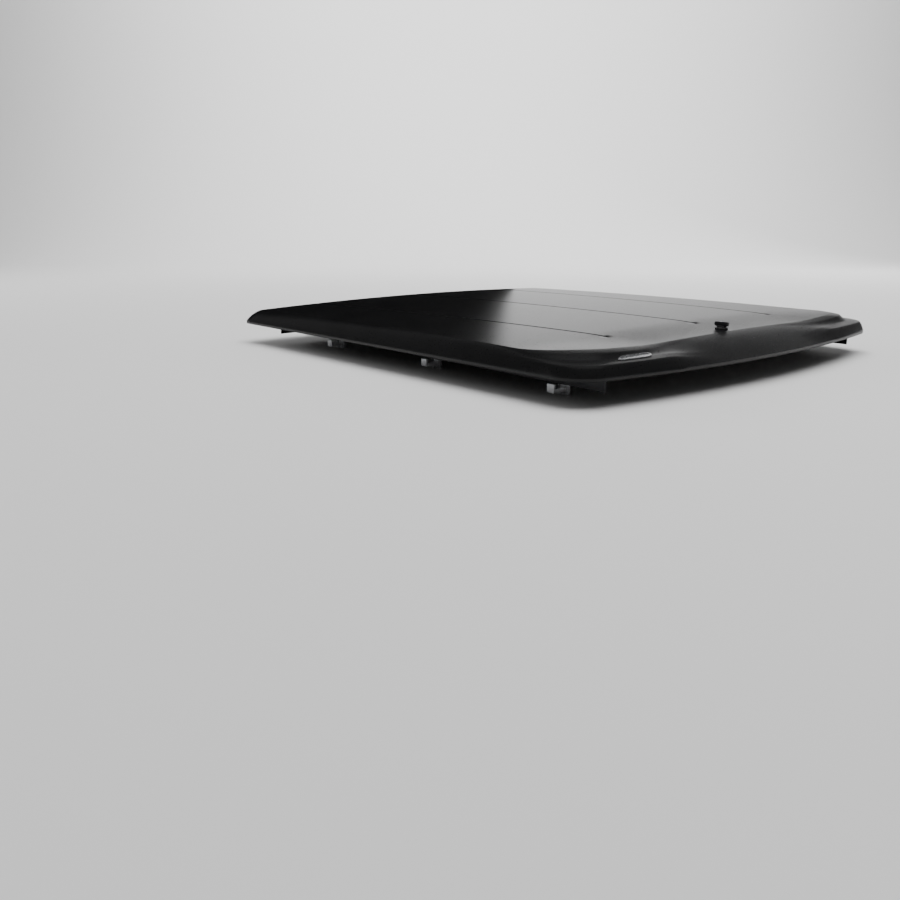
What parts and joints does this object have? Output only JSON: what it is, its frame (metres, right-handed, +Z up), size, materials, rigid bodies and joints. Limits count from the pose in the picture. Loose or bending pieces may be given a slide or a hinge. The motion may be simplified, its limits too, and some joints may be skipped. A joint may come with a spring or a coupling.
{
  "type": "tonneau cover",
  "caption": "Front-hinged one-piece hard cover for a pickup bed, with clamp-on rails, gas struts, rotary lock and pull-out hinge pins.",
  "frame": {"origin": "under the middle of the cover, level with the feet of the bed clamps", "axes": "+X passenger side, +Y towards the cab, +Z up"},
  "size_m": [1.926, 2.0301, 0.1861],
  "materials": {
    "shell": "fine-textured black moulded ABS, semi-gloss",
    "liner": "matt dark grey textured ABS",
    "rubber": "matt black rubber",
    "black_rail": "black anodised extrusion",
    "aluminium": "plain mill-finish aluminium",
    "black_steel": "black powder coat",
    "strut_tube": "black gloss paint",
    "steel": "zinc-plated or ground steel",
    "knob": "black moulded plastic",
    "lamp": "frosted translucent plastic",
    "badge": "plain bright plate with no mark"
  },
  "bodies": {
    "root": {"header_rail": "black_rail", "header_seal": "rubber", "side_rail_left": "black_rail", "rail_seal_left": "rubber", "corner_bracket_left": "black_steel", "hinge_base_left": "black_steel", "latch_keeper_left": "black_steel", "strut_mount_left": "black_steel", "clamp_body_left_1": "aluminium", "clamp_body_left_2": "aluminium", "clamp_body_left_3": "aluminium", "side_rail_right": "black_rail", "rail_seal_right": "rubber", "corner_bracket_right": "black_steel", "hinge_base_right": "black_steel", "latch_keeper_right": "black_steel", "strut_mount_right": "black_steel", "clamp_body_right_1": "aluminium", "clamp_body_right_2": "aluminium", "clamp_body_right_3": "aluminium"},
    "lid": {"lid_shell": "shell", "lid_liner": "liner", "front_trim": "shell", "stiffener_left": "aluminium", "stiffener_right": "aluminium", "tailgate_seal": "rubber", "badge_plate": "badge", "lock_bezel": "black_steel", "lamp_housing": "liner", "hinge_leaf_left": "black_steel", "strut_bracket_left": "black_steel", "rod_guide_left": "black_steel", "hinge_leaf_right": "black_steel", "strut_bracket_right": "black_steel", "rod_guide_right": "black_steel"},
    "lock_knob": {"lock_knob": "knob", "lock_cam": "steel"},
    "key_plug": {"key_plug": "steel"},
    "lamp_lens": {"lamp_lens": "lamp"},
    "strut_tube_left": {"strut_tube_left": "strut_tube"},
    "strut_rod_left": {"strut_rod_left": "steel"},
    "latch_rod_left": {"latch_rod_left": "steel"},
    "hinge_pin_left": {"hinge_pin_left": "steel"},
    "strut_tube_right": {"strut_tube_right": "strut_tube"},
    "strut_rod_right": {"strut_rod_right": "steel"},
    "latch_rod_right": {"latch_rod_right": "steel"},
    "hinge_pin_right": {"hinge_pin_right": "steel"},
    "clamp_jaw_left_1": {"clamp_jaw_left_1": "aluminium"},
    "clamp_bolt_left_1": {"clamp_bolt_left_1": "steel"},
    "clamp_jaw_left_2": {"clamp_jaw_left_2": "aluminium"},
    "clamp_bolt_left_2": {"clamp_bolt_left_2": "steel"},
    "clamp_jaw_left_3": {"clamp_jaw_left_3": "aluminium"},
    "clamp_bolt_left_3": {"clamp_bolt_left_3": "steel"},
    "clamp_jaw_right_1": {"clamp_jaw_right_1": "aluminium"},
    "clamp_bolt_right_1": {"clamp_bolt_right_1": "steel"},
    "clamp_jaw_right_2": {"clamp_jaw_right_2": "aluminium"},
    "clamp_bolt_right_2": {"clamp_bolt_right_2": "steel"},
    "clamp_jaw_right_3": {"clamp_jaw_right_3": "aluminium"},
    "clamp_bolt_right_3": {"clamp_bolt_right_3": "steel"}
  },
  "joints": [
    {"name": "lid_hinge", "type": "hinge", "parent": "root", "child": "lid", "pos_m": [0, 0.985, 0.1105], "axis": [-1, 0, 0], "range_deg": [0, 26]},
    {"name": "strut_swing_left", "type": "hinge", "parent": "root", "child": "strut_tube_left", "pos_m": [-0.702, 0.885, 0.0455], "axis": [-1, 0, 0], "range_deg": [0, 30]},
    {"name": "strut_stroke_left", "type": "slide", "parent": "strut_tube_left", "child": "strut_rod_left", "axis": [0, -0.9936, 0.1133], "range_m": [0, 0.045]},
    {"name": "latch_throw_left", "type": "slide", "parent": "lid", "child": "latch_rod_left", "axis": [-1, 0, 0], "range_m": [0, 0.0312]},
    {"name": "hinge_pin_pull_left", "type": "slide", "parent": "root", "child": "hinge_pin_left", "axis": [-1, 0, 0], "range_m": [0, 0.056]},
    {"name": "strut_swing_right", "type": "hinge", "parent": "root", "child": "strut_tube_right", "pos_m": [0.702, 0.885, 0.0455], "axis": [-1, 0, 0], "range_deg": [0, 30]},
    {"name": "strut_stroke_right", "type": "slide", "parent": "strut_tube_right", "child": "strut_rod_right", "axis": [0, -0.9936, 0.1133], "range_m": [0, 0.045]},
    {"name": "latch_throw_right", "type": "slide", "parent": "lid", "child": "latch_rod_right", "axis": [1, 0, 0], "range_m": [0, 0.0312]},
    {"name": "hinge_pin_pull_right", "type": "slide", "parent": "root", "child": "hinge_pin_right", "axis": [1, 0, 0], "range_m": [0, 0.056]},
    {"name": "lock_turn", "type": "hinge", "parent": "lid", "child": "lock_knob", "pos_m": [0, -0.795, 0.15], "axis": [0, 0, -1], "range_deg": [0, 90]},
    {"name": "key_turn", "type": "hinge", "parent": "lock_knob", "child": "key_plug", "pos_m": [0, -0.795, 0.18], "axis": [0, 0, -1], "range_deg": [0, 90]},
    {"name": "lamp_press", "type": "slide", "parent": "lid", "child": "lamp_lens", "axis": [0, 0, 1], "range_m": [0, 0.0015], "stiffness_N_per_m": 900, "springref_m": -0.0005},
    {"name": "clamp_jaw_lift_left_1", "type": "slide", "parent": "root", "child": "clamp_jaw_left_1", "axis": [0, 0, 1], "range_m": [0, 0.0101]},
    {"name": "clamp_bolt_turn_left_1", "type": "hinge", "parent": "clamp_jaw_left_1", "child": "clamp_bolt_left_1", "pos_m": [-0.747, -0.7, 0.01], "axis": [0, 0, 1], "range_deg": [0, 2880]},
    {"name": "clamp_jaw_lift_left_2", "type": "slide", "parent": "root", "child": "clamp_jaw_left_2", "axis": [0, 0, 1], "range_m": [0, 0.0101]},
    {"name": "clamp_bolt_turn_left_2", "type": "hinge", "parent": "clamp_jaw_left_2", "child": "clamp_bolt_left_2", "pos_m": [-0.747, -0.05, 0.01], "axis": [0, 0, 1], "range_deg": [0, 2880]},
    {"name": "clamp_jaw_lift_left_3", "type": "slide", "parent": "root", "child": "clamp_jaw_left_3", "axis": [0, 0, 1], "range_m": [0, 0.0101]},
    {"name": "clamp_bolt_turn_left_3", "type": "hinge", "parent": "clamp_jaw_left_3", "child": "clamp_bolt_left_3", "pos_m": [-0.747, 0.6, 0.01], "axis": [0, 0, 1], "range_deg": [0, 2880]},
    {"name": "clamp_jaw_lift_right_1", "type": "slide", "parent": "root", "child": "clamp_jaw_right_1", "axis": [0, 0, 1], "range_m": [0, 0.0101]},
    {"name": "clamp_bolt_turn_right_1", "type": "hinge", "parent": "clamp_jaw_right_1", "child": "clamp_bolt_right_1", "pos_m": [0.747, -0.7, 0.01], "axis": [0, 0, 1], "range_deg": [0, 2880]},
    {"name": "clamp_jaw_lift_right_2", "type": "slide", "parent": "root", "child": "clamp_jaw_right_2", "axis": [0, 0, 1], "range_m": [0, 0.0101]},
    {"name": "clamp_bolt_turn_right_2", "type": "hinge", "parent": "clamp_jaw_right_2", "child": "clamp_bolt_right_2", "pos_m": [0.747, -0.05, 0.01], "axis": [0, 0, 1], "range_deg": [0, 2880]},
    {"name": "clamp_jaw_lift_right_3", "type": "slide", "parent": "root", "child": "clamp_jaw_right_3", "axis": [0, 0, 1], "range_m": [0, 0.0101]},
    {"name": "clamp_bolt_turn_right_3", "type": "hinge", "parent": "clamp_jaw_right_3", "child": "clamp_bolt_right_3", "pos_m": [0.747, 0.6, 0.01], "axis": [0, 0, 1], "range_deg": [0, 2880]}
  ],
  "couplings": [
    {"joint": "strut_swing_left", "follows": "lid_hinge", "ratio": 1.14},
    {"joint": "strut_stroke_left", "follows": "lid_hinge", "m_per_rad": 0.0925},
    {"joint": "latch_throw_left", "follows": "lock_turn", "m_per_rad": 0.019807},
    {"joint": "strut_swing_right", "follows": "lid_hinge", "ratio": 1.14},
    {"joint": "strut_stroke_right", "follows": "lid_hinge", "m_per_rad": 0.0925},
    {"joint": "latch_throw_right", "follows": "lock_turn", "m_per_rad": 0.019807},
    {"joint": "clamp_jaw_lift_left_1", "follows": "clamp_bolt_turn_left_1", "m_per_rad": 0.00019894},
    {"joint": "clamp_jaw_lift_left_2", "follows": "clamp_bolt_turn_left_2", "m_per_rad": 0.00019894},
    {"joint": "clamp_jaw_lift_left_3", "follows": "clamp_bolt_turn_left_3", "m_per_rad": 0.00019894},
    {"joint": "clamp_jaw_lift_right_1", "follows": "clamp_bolt_turn_right_1", "m_per_rad": 0.00019894},
    {"joint": "clamp_jaw_lift_right_2", "follows": "clamp_bolt_turn_right_2", "m_per_rad": 0.00019894},
    {"joint": "clamp_jaw_lift_right_3", "follows": "clamp_bolt_turn_right_3", "m_per_rad": 0.00019894}
  ]
}
